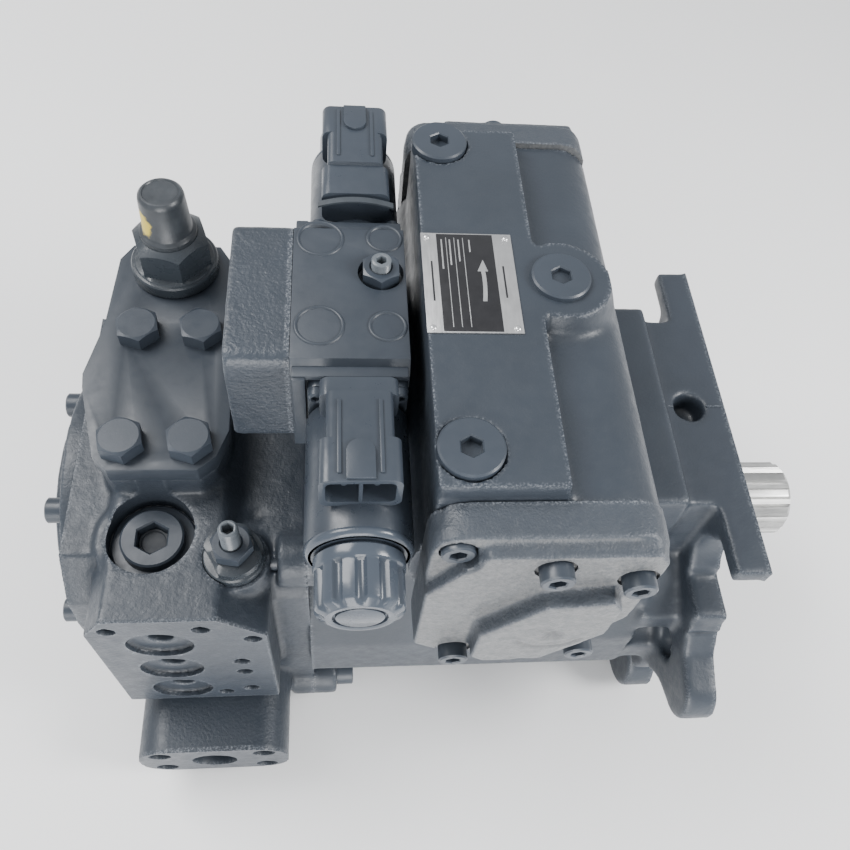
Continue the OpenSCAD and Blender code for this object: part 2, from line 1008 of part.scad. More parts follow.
// one point of the inner gear's tooth form, made to roll on the outer gear's round teeth
function tooth_lag(t) =
    atan2(sin((1 - boost_n) * t), boost_pcr / (boost_ecc * boost_n) - cos((1 - boost_n) * t));
function inner_point(t, r) = [
    boost_pcr * cos(t) - r * cos(t + tooth_lag(t)) - boost_ecc * cos(boost_n * t),
    -boost_pcr * sin(t) + r * sin(t + tooth_lag(t)) + boost_ecc * sin(boost_n * t)
];

module boost_inner_gear() {
    color("#9ba2a7")
    difference() {
        slab_x(boost_front_x - boost_len, boost_front_x - 2 * gap)
            polygon([for (t = [0 : 3 : 357]) inner_point(t, boost_tooth + 0.45)]);
        rod_x(boost_front_x - boost_len - 1, boost_front_x + 1, boost_drive_r + fit);
    }
}

module boost_outer_gear() {
    color("#8d9499")
    translate([0, -boost_ecc, 0])
        slab_x(boost_front_x - boost_len, boost_front_x - 2 * gap)
            difference() {
                circle(37.5);
                difference() {
                    circle(30.5);
                    for (k = [0 : boost_n - 1])
                        rotate([0, 0, k * 360 / boost_n])
                            translate([boost_pcr, 0])
                                circle(boost_tooth);
                }
            }
}

// ---- which node to draw --------------------------------------------------

pump_housing();
end_cover();
rear_cap();
rear_cap_screws();
end_cover_bolts();
near_stroking_cover();
far_stroking_cover();
stroking_cover_screws();
pressure_port_plugs();
nameplate();
nameplate_rivets();
control_rear_block();
control_valve_body();
neutral_adjuster_nut();
neutral_adjuster_stud();
near_solenoid_coil();
far_solenoid_coil();
near_connector();
far_connector();
near_coil_nut();
far_coil_nut();
solenoid_flange_screws();
control_spool();
cover_plate();
cover_plate_bolts();
relief_valve_body();
relief_valve_cap();
gallery_plug();
cutoff_valve_body();
cutoff_adjuster_nut();
cutoff_adjuster_stud();
drive_shaft();
front_bearing();
shaft_seal();
cylinder_barrel();
valve_plate();
swashplate();
slipper_retainer();
stroking_piston();
boost_inner_gear();
boost_outer_gear();
swash_bearings();
for (n = [1 : piston_n]) {
    slipper(n);
    piston(n);
}
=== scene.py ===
"""Looks for the axial piston pump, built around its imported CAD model. Metres throughout."""
import json
import math

import bmesh
import bpy
import numpy as np
from mathutils import Matrix, Vector


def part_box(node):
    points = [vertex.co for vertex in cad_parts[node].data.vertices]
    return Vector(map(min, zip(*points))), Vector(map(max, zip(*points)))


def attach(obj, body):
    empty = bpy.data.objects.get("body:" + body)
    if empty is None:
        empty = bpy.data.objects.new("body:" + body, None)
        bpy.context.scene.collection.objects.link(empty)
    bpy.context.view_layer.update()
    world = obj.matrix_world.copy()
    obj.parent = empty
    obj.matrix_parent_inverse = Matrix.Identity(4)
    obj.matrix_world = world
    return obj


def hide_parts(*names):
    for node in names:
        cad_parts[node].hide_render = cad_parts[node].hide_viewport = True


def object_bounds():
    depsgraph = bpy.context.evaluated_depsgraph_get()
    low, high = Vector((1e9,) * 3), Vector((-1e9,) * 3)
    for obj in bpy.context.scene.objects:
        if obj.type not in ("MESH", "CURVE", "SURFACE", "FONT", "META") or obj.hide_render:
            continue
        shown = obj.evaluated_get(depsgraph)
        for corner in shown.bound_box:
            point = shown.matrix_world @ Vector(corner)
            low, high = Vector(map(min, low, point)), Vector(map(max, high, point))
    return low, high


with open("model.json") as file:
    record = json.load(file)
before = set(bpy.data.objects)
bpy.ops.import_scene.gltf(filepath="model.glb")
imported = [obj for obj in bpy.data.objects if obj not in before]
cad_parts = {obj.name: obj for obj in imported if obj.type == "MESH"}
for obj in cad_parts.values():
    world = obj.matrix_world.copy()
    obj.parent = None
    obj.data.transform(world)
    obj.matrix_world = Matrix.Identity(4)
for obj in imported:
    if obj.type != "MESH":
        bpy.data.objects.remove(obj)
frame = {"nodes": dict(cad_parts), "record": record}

cad_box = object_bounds()
nodes = frame["nodes"]
slot_of = {p["node"]: p["material_slot"] for p in frame["record"]["subparts"]}
body_of = {n: b for b, members in frame["record"]["behaviour"]["bodies"].items() for n in members}
MM = 0.001
# the pump's two flanks, with the sign that Y has on each
SIDES = (("near", -1), ("far", 1))

# ---- camera ------------------------------------------------------------------

CAMERA_AT = Vector((-0.202, -0.235, 0.458))
CAMERA_FORWARD = Vector((0.105, 0.531, -0.841)).normalized()
CAMERA_UP = Vector((0.0, 0.846, 0.534))


def add_camera():
    right = CAMERA_FORWARD.cross(CAMERA_UP).normalized()
    up = right.cross(CAMERA_FORWARD)
    data = bpy.data.cameras.new("camera")
    data.lens = 36
    data.sensor_width = 36
    data.clip_start = 0.01
    camera = bpy.data.objects.new("camera", data)
    turn = Matrix((right, up, -CAMERA_FORWARD)).transposed()
    camera.matrix_world = Matrix.Translation(CAMERA_AT) @ turn.to_4x4()
    bpy.context.scene.collection.objects.link(camera)
    bpy.context.scene.camera = camera


add_camera()

# ---- materials ---------------------------------------------------------------


class Shader:
    """A material's node tree, with short ways to add the nodes that it needs."""

    def __init__(self, name):
        self.material = bpy.data.materials.new(name)
        self.material.use_nodes = True
        self.tree = self.material.node_tree
        self.bsdf = self.tree.nodes["Principled BSDF"]
        self.place = self.tree.nodes.new("ShaderNodeTexCoord").outputs["Object"]

    def node(self, kind, **values):
        made = self.tree.nodes.new("ShaderNode" + kind)
        for key, value in values.items():
            setattr(made, key, value)
        return made

    def join(self, source, target):
        self.tree.links.new(source, target)

    def noise(self, size_mm, detail=3.0, rough=0.6, stretch=(1, 1, 1)):
        """Noise whose features are about size_mm across, from 0 to 1."""
        scaled = self.node("Mapping")
        scaled.inputs["Scale"].default_value = stretch
        self.join(self.place, scaled.inputs["Vector"])
        made = self.node("TexNoise")
        made.inputs["Scale"].default_value = 1 / (size_mm * MM)
        made.inputs["Detail"].default_value = detail
        made.inputs["Roughness"].default_value = rough
        self.join(scaled.outputs[0], made.inputs["Vector"])
        return made.outputs["Fac"]

    def spread(self, value, low, high, to_low=0.0, to_high=1.0):
        made = self.node("MapRange")
        self.join(value, made.inputs["Value"])
        for key, number in zip(("From Min", "From Max", "To Min", "To Max"), (low, high, to_low, to_high)):
            made.inputs[key].default_value = number
        return made.outputs[0]

    def maths(self, kind, a, b):
        made = self.node("Math", operation=kind)
        for socket, value in zip(made.inputs, (a, b)):
            if isinstance(value, (int, float)):
                socket.default_value = value
            else:
                self.join(value, socket)
        return made.outputs[0]

    def mix(self, share, a, b):
        """Colour a where share is 0 and b where it is 1."""
        made = self.node("Mix", data_type="RGBA")
        self.join(share, made.inputs[0])
        for socket, value in ((made.inputs[6], a), (made.inputs[7], b)):
            if isinstance(value, tuple):
                socket.default_value = (*value, 1)
            else:
                self.join(value, socket)
        return made.outputs[2]

    def bump(self, height, depth_mm, strength=1.0, after=None):
        made = self.node("Bump")
        made.inputs["Strength"].default_value = strength
        made.inputs["Distance"].default_value = depth_mm * MM
        self.join(height, made.inputs["Height"])
        if after is not None:
            self.join(after, made.inputs["Normal"])
        return made.outputs[0]

    def finish(self, colour, rough, normal=None, metallic=0.0):
        self.bsdf.inputs["Metallic"].default_value = metallic
        for socket, value in (("Base Color", colour), ("Roughness", rough), ("Normal", normal)):
            if value is None:
                continue
            if isinstance(value, tuple):
                self.bsdf.inputs[socket].default_value = (*value, 1)
            elif isinstance(value, float):
                self.bsdf.inputs[socket].default_value = value
            else:
                self.join(value, self.bsdf.inputs[socket])
        return self.material


SLATE = (0.031, 0.039, 0.051)
# painted shade: the colour put into the castings' hollows
HOLLOW_SHADE = (0.010, 0.013, 0.018)
# pale edge colour: partly paint worn off the edges, partly a painted highlight
EDGE_WEAR_AND_HIGHLIGHT = (0.30, 0.32, 0.35)


def paint(name, base=SLATE, grain_mm=1.6, grain_depth=0.18, sheen=0.40, hollow_shade_and_bright_edges=0.0, painted_light_on_y_faces=0.0, wave=0.25):
    """Satin paint: a faint mottle and a grain that fits the surface under it.

    The edge strength is for finely meshed castings only: it puts painted shade into their hollows, and
    breaks up their edges with pale colour that is partly paint wear and partly a painted highlight.
    """
    s = Shader(name)
    cloud = s.noise(38, 2.0)
    colour = s.mix(s.spread(cloud, 0.35, 0.7), tuple(0.93 * c for c in base), tuple(1.08 * c for c in base))
    sheen_low, sheen_high = sheen - 0.06, sheen + 0.10
    if hollow_shade_and_bright_edges:
        pointed = s.node("NewGeometry").outputs["Pointiness"]
        # painted shade: dark colour in the hollows, where shade falls
        colour = s.mix(s.spread(pointed, 0.494, 0.44), colour, HOLLOW_SHADE)
        # pale broken edges: partly paint worn off, partly a painted highlight on the convex edges
        edge_speckle = s.spread(s.noise(0.9, 4.0), 0.47, 0.66)
        edge = s.maths("MULTIPLY", s.spread(pointed, 0.512, 0.56), s.maths("MULTIPLY", edge_speckle, hollow_shade_and_bright_edges))
        colour = s.mix(edge, colour, EDGE_WEAR_AND_HIGHLIGHT)
    if painted_light_on_y_faces:
        # painted light: a paler, mottled colour on the faces that look out along Y, standing in for the
        # light that falls on them
        patch_share = s.spread(s.noise(2.4, 6.0, 0.75), 0.30, 0.70, 0.25 * painted_light_on_y_faces, 0.95 * painted_light_on_y_faces)
        split = s.node("SeparateXYZ")
        s.join(s.node("TexCoord").outputs["Normal"], split.inputs[0])
        outward = s.spread(s.maths("ABSOLUTE", split.outputs["Y"], 0.0), 0.80, 0.97, 0.12, 1.0)
        colour = s.mix(s.maths("MULTIPLY", patch_share, outward), colour, (0.21, 0.21, 0.205))
    rough = s.spread(s.noise(6, 4.0), 0.3, 0.7, sheen_low, sheen_high)
    grain = s.bump(s.noise(grain_mm, 3.0, 0.55), grain_depth, 0.8)
    return s.finish(colour, rough, s.bump(s.noise(14, 2.0), wave, 0.5, after=grain))


def metal(name, base, rough, streak=(1, 1, 1), grain_mm=0.8, depth=0.02, tarnish=0.3):
    """Bare metal with tool marks along one axis and a little tarnish."""
    s = Shader(name)
    patch_share = s.spread(s.noise(9, 4.0), 0.35, 0.7, 0.0, tarnish)
    marks = s.noise(grain_mm, 3.0, 0.6, stretch=streak)
    colour = s.mix(patch_share, base, tuple(0.55 * c for c in base))
    sheen = s.spread(marks, 0.25, 0.75, rough - 0.08, rough + 0.12)
    return s.finish(colour, sheen, s.bump(marks, depth, 0.6), metallic=1.0)


def plain(name, base, rough, grain_mm=0.8, depth=0.03):
    """Moulded plastic or rubber."""
    s = Shader(name)
    cloud = s.spread(s.noise(7, 3.0), 0.3, 0.7)
    colour = s.mix(cloud, tuple(0.85 * c for c in base), tuple(1.2 * c for c in base))
    sheen = s.spread(s.noise(3, 3.0), 0.3, 0.7, rough - 0.06, rough + 0.08)
    return s.finish(colour, sheen, s.bump(s.noise(grain_mm, 2.0), depth, 0.6))


def cap_paint():
    """Dark valve paint with one dab of yellow marking paint on the side that faces back and left."""
    s = Shader("valve_cap_paint")
    low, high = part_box("relief_valve_cap")
    dab_at = (low.x + 0.003, (low.y + high.y) / 2 - 0.006, low.z + 0.45 * (high.z - low.z))
    offset = s.node("VectorMath", operation="DISTANCE")
    s.join(s.place, offset.inputs[0])
    offset.inputs[1].default_value = dab_at
    ragged = s.maths("ADD", offset.outputs["Value"], s.maths("MULTIPLY", s.noise(3, 4.0), 0.006))
    dab = s.spread(ragged, 0.0108, 0.0092)
    cloud = s.spread(s.noise(9, 3.0), 0.3, 0.7)
    colour = s.mix(cloud, (0.024, 0.028, 0.033), (0.042, 0.048, 0.055))
    colour = s.mix(dab, colour, (0.52, 0.40, 0.05))
    sheen = s.spread(s.noise(4, 4.0), 0.3, 0.7, 0.28, 0.45)
    return s.finish(colour, sheen, s.bump(s.noise(1.4, 3.0), 0.06, 0.6))


SLATE_LIGHT = tuple(1.15 * c for c in SLATE)
PAINTS = {
    "cast_housing": dict(hollow_shade_and_bright_edges=0.5),
    "cast_end_cover": dict(hollow_shade_and_bright_edges=0.55, grain_depth=0.3),
    # painted light: the cover's lighter base and its paler faces along Y stand in for the light on it
    "cast_cover": dict(base=SLATE_LIGHT, hollow_shade_and_bright_edges=0.6, painted_light_on_y_faces=0.85, grain_mm=1.1, grain_depth=0.45),
    "cast_control": dict(hollow_shade_and_bright_edges=0.5, grain_mm=1.7, grain_depth=0.55, sheen=0.36),
    "control_body": dict(grain_mm=2.4, grain_depth=0.05, wave=0.12),
    "cover_plate": dict(grain_mm=3.0, grain_depth=0.03, wave=0.08),
    "painted_fastener": dict(base=SLATE_LIGHT, grain_mm=1.2, grain_depth=0.04, wave=0.03, sheen=0.34),
    "painted_plug": dict(base=SLATE_LIGHT, grain_mm=2.0, grain_depth=0.03, wave=0.03, sheen=0.36),
    "painted_stud": dict(base=(0.11, 0.125, 0.14), grain_mm=0.7, grain_depth=0.03, wave=0.0, sheen=0.28),
    "painted_valve": dict(base=(0.030, 0.037, 0.045), grain_mm=1.4, grain_depth=0.05, wave=0.05, sheen=0.27),
    "solenoid_coil": dict(grain_mm=2.2, grain_depth=0.04, wave=0.06, sheen=0.30),
    "connector": dict(base=SLATE_LIGHT, grain_mm=1.2, grain_depth=0.03, wave=0.04, sheen=0.32),
    "coil_nut": dict(base=(0.052, 0.064, 0.082), grain_mm=2.2, grain_depth=0.02, wave=0.03, sheen=0.20),
}
METALS = {
    "nameplate": dict(base=(0.72, 0.72, 0.72), rough=0.34, streak=(1, 0.08, 1)),
    "rivet": dict(base=(0.75, 0.75, 0.75), rough=0.28),
    "bare_steel": dict(base=(0.50, 0.50, 0.49), rough=0.38, streak=(0.06, 1, 1), tarnish=0.35),
    "hardened_steel": dict(base=(0.56, 0.57, 0.58), rough=0.26, streak=(1, 1, 0.2)),
    "bronze": dict(base=(0.62, 0.42, 0.17), rough=0.34),
    "swash_iron": dict(base=(0.33, 0.33, 0.33), rough=0.48, grain_mm=1.4, depth=0.08),
}
FINISHES = {slot: paint(slot, **look) for slot, look in PAINTS.items()}
FINISHES.update({slot: metal(slot, **look) for slot, look in METALS.items()})
FINISHES["seal_rubber"] = plain("seal_rubber", (0.022, 0.022, 0.024), 0.55)
CAP_PAINT = cap_paint()
PANEL_BLACK = plain("panel_black", (0.012, 0.012, 0.014), 0.35, depth=0.01)
SPRING_CLIP = plain("spring_clip", (0.035, 0.042, 0.05), 0.4)
# painted shade: near-black colour for the foot of a deep socket
SOCKET_SHADE = plain("socket_shade", (0.02, 0.024, 0.03), 0.6)

# ---- mesh helpers ------------------------------------------------------------


def add_piece(name, mesh, material):
    mesh.materials.clear()
    mesh.materials.append(material)
    piece = bpy.data.objects.new(name, mesh)
    bpy.context.scene.collection.objects.link(piece)
    return piece


def stand_for(piece, node):
    """piece rides where its CAD node rides and takes that node's place, which is hidden."""
    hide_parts(node)
    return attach(piece, body_of[node])


def go_with(piece, node):
    """piece is extra detail on a CAD node: it rides with that node's body."""
    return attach(piece, body_of[node])


def shade(bm, limit_deg=32):
    """Smooth faces, with the edges that turn more than the limit kept sharp."""
    for face in bm.faces:
        face.smooth = True
    for edge in bm.edges:
        edge.smooth = len(edge.link_faces) == 2 and edge.calc_face_angle(math.pi) < math.radians(limit_deg)


def to_mesh(bm, name, limit_deg=32):
    shade(bm, limit_deg)
    mesh = bpy.data.meshes.new(name)
    bm.to_mesh(mesh)
    bm.free()
    return mesh


def node_bmesh(node):
    """A CAD node's shape with its flat faces whole again."""
    bm = bmesh.new()
    bm.from_mesh(nodes[node].data)
    bmesh.ops.remove_doubles(bm, verts=bm.verts, dist=0.004 * MM)
    bmesh.ops.dissolve_limit(bm, angle_limit=math.radians(0.6), verts=bm.verts, edges=bm.edges)
    return bm


def bevel_edges(bm, width_mm, limit_deg=30):
    sharp = [
        e for e in bm.edges
        if len(e.link_faces) == 2 and e.calc_face_angle(0) > math.radians(limit_deg)
    ]
    bmesh.ops.bevel(
        bm, geom=sharp, offset=width_mm * MM, offset_type="OFFSET", segments=2,
        profile=0.6, affect="EDGES", clamp_overlap=True,
    )


def machined(node, width_mm=0.6, material=None):
    """A CAD node with its edges broken, as a new piece that stands for it."""
    bm = node_bmesh(node)
    bevel_edges(bm, width_mm)
    mesh = to_mesh(bm, node + "_skin")
    return stand_for(add_piece(node + "_skin", mesh, material or FINISHES[slot_of[node]]), node)


def value(thing, angle):
    return thing(angle) if callable(thing) else thing


# what turns a form that stands along Z to each of these axes
TURNS = {
    "Z": Matrix.Identity(3), "-Z": Matrix.Rotation(math.pi, 3, "X"),
    "Y": Matrix.Rotation(-math.pi / 2, 3, "X"), "-Y": Matrix.Rotation(math.pi / 2, 3, "X"),
    "X": Matrix.Rotation(math.pi / 2, 3, "Y"), "-X": Matrix.Rotation(-math.pi / 2, 3, "Y"),
}


def turned(bm, rings, at, axis="Z", steps=96, spin=0.0):
    """A closed solid from rings of (radius, height) in mm, where either may depend on the angle."""
    turn = TURNS[axis]
    rows = []
    for radius, height in rings:
        if radius == 0:
            rows.append([bm.verts.new(Vector(at) + turn @ Vector((0, 0, value(height, 0) * MM)))])
            continue
        row = []
        for k in range(steps):
            angle = 2 * math.pi * k / steps
            r = value(radius, angle) * MM
            x, y = r * math.cos(angle + spin), r * math.sin(angle + spin)
            spot = Vector((x, y, value(height, angle) * MM))
            row.append(bm.verts.new(Vector(at) + turn @ spot))
        rows.append(row)
    for low, high in zip(rows, rows[1:]):
        for k in range(steps):
            j = (k + 1) % steps
            if len(low) == 1:
                bm.faces.new((low[0], high[j], high[k]))
            elif len(high) == 1:
                bm.faces.new((low[k], low[j], high[0]))
            else:
                bm.faces.new((low[k], low[j], high[j], high[k]))
    return bm


def hexagon(across):
    """Radius of a hexagon of that width across flats, as a function of the angle."""
    return lambda a: across / 2 / math.cos((a + math.pi / 6) % (math.pi / 3) - math.pi / 6)


def chamfer_top(across, top, shade_r=0.95, slope=0.55):
    """Height of a hexagon's rim where a cone has cut its corners."""
    side = hexagon(across)
    return lambda a: top - (side(a) - across / 2 * shade_r) * slope


def hex_nut(across, height, bore):
    side = hexagon(across)
    return [
        (bore, height - 0.8), (bore + 0.8, height), (across / 2 * 0.95, height),
        (side, chamfer_top(across, height)), (side, lambda a: height - chamfer_top(across, height)(a)),
        (across / 2 * 0.95, 0), (bore, 0), (bore, height - 0.8),
    ]


def hex_bolt(across, height):
    side = hexagon(across)
    crown = across / 2 * 0.93
    return [(0, height), (crown, height), (side, chamfer_top(across, height, 0.93)), (side, 0), (0, 0)]


def socket_screw(radius, height, socket):
    side = hexagon(socket)
    return [
        (0, height * 0.42), (side, height * 0.5), (side, height - 0.5),
        (lambda a: side(a) + 0.5, height), (radius - 0.7, height), (radius, height - 0.7), (radius, 0),
        (0, 0),
    ]


def threaded(radius, low, high, pitch, depth, bore=0.0, bore_depth=0.0):
    """A stud with its thread as a stack of ridges, and a hollow end if bore isn't 0."""
    rings = [(0, low), (radius - depth, low)]
    count = int((high - low) / pitch)
    for k in range(count):
        rings.append((radius - depth, low + k * pitch + 0.1 * pitch))
        rings.append((radius, low + k * pitch + 0.5 * pitch))
    rings.append((radius - depth, high - 0.1))
    rings.append((radius - depth - 0.5, high))
    if bore:
        side = hexagon(bore * 2 * 0.9)
        foot = high - bore_depth
        rings += [(lambda a: side(a) + 0.4, high), (side, high - 0.4), (side, foot), (0, foot - 0.6)]
    else:
        rings.append((0, high))
    return rings[::-1]


def closed(bm, name, material, limit_deg=32, bevel_mm=0.0):
    """A piece from a mesh of closed parts, with its faces turned outward."""
    bmesh.ops.recalc_face_normals(bm, faces=bm.faces)
    if bevel_mm:
        bevel_edges(bm, bevel_mm)
    return add_piece(name, to_mesh(bm, name, limit_deg), material)


def solid(name, rings, at, axis="Z", steps=96, spin=0.0, material=None, limit_deg=32):
    """One turned piece, or several where at is a list of places."""
    bm = bmesh.new()
    for spot in at if isinstance(at, list) else [at]:
        turned(bm, rings, spot, axis, steps, spin)
    return closed(bm, name, material, limit_deg)


def stand_in(node, rings, at, material, **shape):
    """A turned piece that stands for a CAD node."""
    return stand_for(solid(node + "_skin", rings, at, material=material, **shape), node)


def centre_of(node):
    low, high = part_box(node)
    return (low + high) / 2


def foot_of(node):
    """The middle of a CAD node's lowest face."""
    low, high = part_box(node)
    return Vector(((low.x + high.x) / 2, (low.y + high.y) / 2, low.z))


def islands(node):
    """The middle and half size of each separate solid in a CAD node, sorted by place."""
    bm = node_bmesh(node)
    left, found = set(bm.verts), []
    while left:
        stack, group = [left.pop()], []
        while stack:
            v = stack.pop()
            group.append(v.co.copy())
            for e in v.link_edges:
                other = e.other_vert(v)
                if other in left:
                    left.remove(other)
                    stack.append(other)
        co = np.array(group)
        found.append((Vector((co.min(0) + co.max(0)) / 2), Vector((co.max(0) - co.min(0)) / 2)))
    bm.free()
    return sorted(found, key=lambda f: (round(f[0].x, 4), round(f[0].y, 4), round(f[0].z, 4)))


# ---- castings ----------------------------------------------------------------


def voxel_size(fine_mm):
    return (fine_mm) * MM


VOXEL = voxel_size(1.5)


def remeshed(piece, voxel):
    """The piece's mesh rebuilt as even small faces, which joins everything that overlaps."""
    change = piece.modifiers.new("remesh", "REMESH")
    change.mode = "VOXEL"
    change.voxel_size = voxel
    graph = bpy.context.evaluated_depsgraph_get()
    mesh = bpy.data.meshes.new_from_object(piece.evaluated_get(graph))
    piece.modifiers.clear()
    piece.data = mesh
    return piece


def coordinates(mesh):
    co = np.zeros(len(mesh.vertices) * 3, np.float32)
    mesh.vertices.foreach_get("co", co)
    return co.reshape(-1, 3).astype(float)


def neighbour_mean(co, edges):
    total, count = np.zeros_like(co), np.zeros(len(co))
    for a, b in ((0, 1), (1, 0)):
        for axis in range(3):
            total[:, axis] += np.bincount(edges[:, a], co[edges[:, b], axis], len(co))
        count += np.bincount(edges[:, a], minlength=len(co))
    return total / np.maximum(count, 1)[:, None]


def cast(
    node, soften, flats=(), bores=(), rounds=10, ripple_mm=0.22, extra=None, voxel=None, dent=None,
):
    """A casting: the CAD node's shape with its as-cast edges rounded over and its surface made uneven.

    soften(co) gives 1 where the surface is as cast and 0 where it is machined. flats are (axis, value)
    planes, and bores are (axis, centre, radius, low, high): both are pulled back to their exact place.
    dent(co) gives how far each point is pushed, as vectors.
    """
    bm = node_bmesh(node)
    if extra is not None:
        extra(bm)
    mesh = bpy.data.meshes.new(node + "_casting")
    bmesh.ops.triangulate(bm, faces=bm.faces)
    bm.to_mesh(mesh)
    bm.free()
    piece = remeshed(add_piece(node + "_casting", mesh, FINISHES[slot_of[node]]), voxel or VOXEL)
    mesh = piece.data
    co = coordinates(mesh)
    edges = np.zeros(len(mesh.edges) * 2, np.int32)
    mesh.edges.foreach_get("vertices", edges)
    edges = edges.reshape(-1, 2)
    start, share = co.copy(), soften(co)[:, None]
    for _ in range(rounds):
        co = co + share * 0.6 * (neighbour_mean(co, edges) - co)
    for axis, at in flats:
        near = (np.abs(start[:, axis] - at) < 0.55 * VOXEL) & (share[:, 0] < 0.5)
        co[near, axis] = at
    for axis, centre, radius, low, high in bores:
        others = [k for k in range(3) if k != axis]
        off = co[:, others] - np.array(centre)
        dist = np.linalg.norm(off, axis=1)
        near = (np.abs(dist - radius) < 0.6 * VOXEL) & (start[:, axis] > low) & (start[:, axis] < high)
        co[np.ix_(near, others)] = np.array(centre) + off[near] / dist[near][:, None] * (radius + 0.00002)
    if dent is not None:
        co = co + dent(co)
    mesh.vertices.foreach_set("co", co.astype(np.float32).ravel())
    mesh.update()
    group = piece.vertex_groups.new(name="as_cast")
    for level in (0.25, 0.5, 0.75, 1.0):
        members = np.nonzero(np.abs(share[:, 0] - level) < 0.125)[0].tolist()
        if members:
            group.add(members, level, "REPLACE")
    for size, depth in ((0.007, ripple_mm), (0.0022, ripple_mm * 0.45)):
        cloud = bpy.data.textures.new(f"{node}_{size}", "CLOUDS")
        cloud.noise_scale = size
        cloud.noise_depth = 2
        waves = piece.modifiers.new("ripple", "DISPLACE")
        waves.texture = cloud
        waves.strength = depth * MM
        waves.mid_level = 0.5
        waves.vertex_group = "as_cast"
    graph = bpy.context.evaluated_depsgraph_get()
    done = bpy.data.meshes.new_from_object(piece.evaluated_get(graph))
    piece.modifiers.clear()
    piece.data = done
    bm = bmesh.new()
    bm.from_mesh(done)
    shade(bm, 55)
    bm.to_mesh(done)
    bm.free()
    return stand_for(piece, node)


def away(co, planes, margin=0.9 * MM):
    """1 for points that lie off all of these (axis, value) planes."""
    keep = np.ones(len(co))
    for axis, at in planes:
        keep *= np.abs(co[:, axis] - at) > margin
    return keep


def outside(co, rods, margin=1.2 * MM):
    """1 for points that lie off all of these bores."""
    keep = np.ones(len(co))
    for axis, centre, radius, low, high in rods:
        others = [k for k in range(3) if k != axis]
        dist = np.linalg.norm(co[:, others] - np.array(centre), axis=1)
        keep *= ~((dist < radius + margin) & (co[:, axis] > low) & (co[:, axis] < high))
    return keep


def box_into(bm, low, high):
    made = bmesh.ops.create_cube(bm, size=1.0)["verts"]
    size, middle = Vector(high) - Vector(low), (Vector(high) + Vector(low)) / 2
    for v in made:
        v.co = Vector((v.co.x * size.x, v.co.y * size.y, v.co.z * size.z)) + middle


housing_low, housing_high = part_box("pump_housing")
cover_low, cover_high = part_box("end_cover")
stroke_at = centre_of("stroking_piston")
plugs = islands("pressure_port_plugs")
pad_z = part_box("nameplate")[0].z
FLANGE_TOP = 0.104
PORT_FACE = -0.105
COVER_GAP = 0.3 * MM
# the near end of the stroking cylinder, which a gap parts from its cover
CYLINDER_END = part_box("near_stroking_cover")[1].y + COVER_GAP
# the ends of a bore that runs out of its casting
LOW, HIGH = -1, 1


def housing():
    rods = [
        # barrel space, swashplate space, front bearing and shaft seal, all round the shaft
        (0, (0, 0), 0.062, housing_low.x + LOW, -0.096), (0, (0, 0), 0.072, -0.1, -0.032),
        (0, (0, 0), 0.045, -0.035, 0.001), (0, (0, 0), 0.036, -0.013, HIGH),
        # stroking cylinder, and the swashplate trunnion's upright bore
        (1, (stroke_at.x, stroke_at.z), 0.034, LOW, HIGH), (2, (-0.075, 0), 0.024, LOW, 0.083),
    ]
    seats = [(2, (p.x, p.y), 0.0132, pad_z - 3.5 * MM, pad_z + 10 * MM) for p, _ in plugs]
    planes = [(0, 0.0), (2, pad_z), (1, CYLINDER_END), (1, -CYLINDER_END), (0, housing_low.x)]

    def soften(co):
        return away(co, planes) * outside(co, rods + seats)

    def extra(bm):
        # the boss of the middle plug runs out over the shoulder
        middle = max(plugs, key=lambda p: p[0].x)[0]
        top, foot, deep = pad_z / MM - 0.5, pad_z / MM - 14, 150
        boss = [(0, top), (21, top), (26, foot), (26, deep), (0, deep)]
        turned(bm, boss, (middle.x + 1 * MM, middle.y, 0))

    cast("pump_housing", soften, planes, rods, rounds=8, extra=extra)


def parting_line():
    """The mould's parting line over the flange, broken by the lifting hole."""
    bm = bmesh.new()
    for x0, x1 in ((-0.0355, -0.0278), (-0.0102, -0.0012)):
        low, high = (x0, -0.5 * MM, FLANGE_TOP - 0.6 * MM), (x1, 0.5 * MM, FLANGE_TOP + 0.45 * MM)
        box_into(bm, low, high)
    bevel_edges(bm, 0.3)
    go_with(add_piece("flange_parting_line", to_mesh(bm, "flange_parting_line"), FINISHES["cast_housing"]),
            "pump_housing")


def end_cover():
    planes = [(1, PORT_FACE), (1, cover_low.y), (1, cover_high.y), (0, cover_low.x), (0, housing_low.x)]
    ports = [m for m in frame["record"]["mounts"] if m["name"].endswith("_side_port")]
    gallery, cutoff = centre_of("gallery_plug"), centre_of("cutoff_valve_body")
    rods = [
        # rear bore, rear bearing and spigot, all round the shaft
        (0, (0, 0), 0.041, LOW, -0.3), (0, (0, 0), 0.013, LOW, HIGH), (0, (0, 0), 0.0618, -0.214, HIGH),
        # seats of the gallery plug and the cut-off valve
        (2, (gallery.x, gallery.y), 0.0204, 0.077, HIGH), (2, (cutoff.x, cutoff.y), 0.0144, 0.077, HIGH),
    ]
    rods += [(1, (m["pos_m"][0], m["pos_m"][2]), 0.0155, LOW, PORT_FACE + 3.4 * MM) for m in ports]

    def soften(co):
        # the ports and screw holes open in the outer 6 mm of these faces, which stay as machined
        near_face = (co[:, 1] < PORT_FACE + 6 * MM) | (co[:, 1] > cover_high.y - 6 * MM)
        return away(co, planes) * outside(co, rods) * ~near_face

    cast("end_cover", soften, planes, rods, rounds=7, ripple_mm=0.4, voxel=voxel_size(1.2))


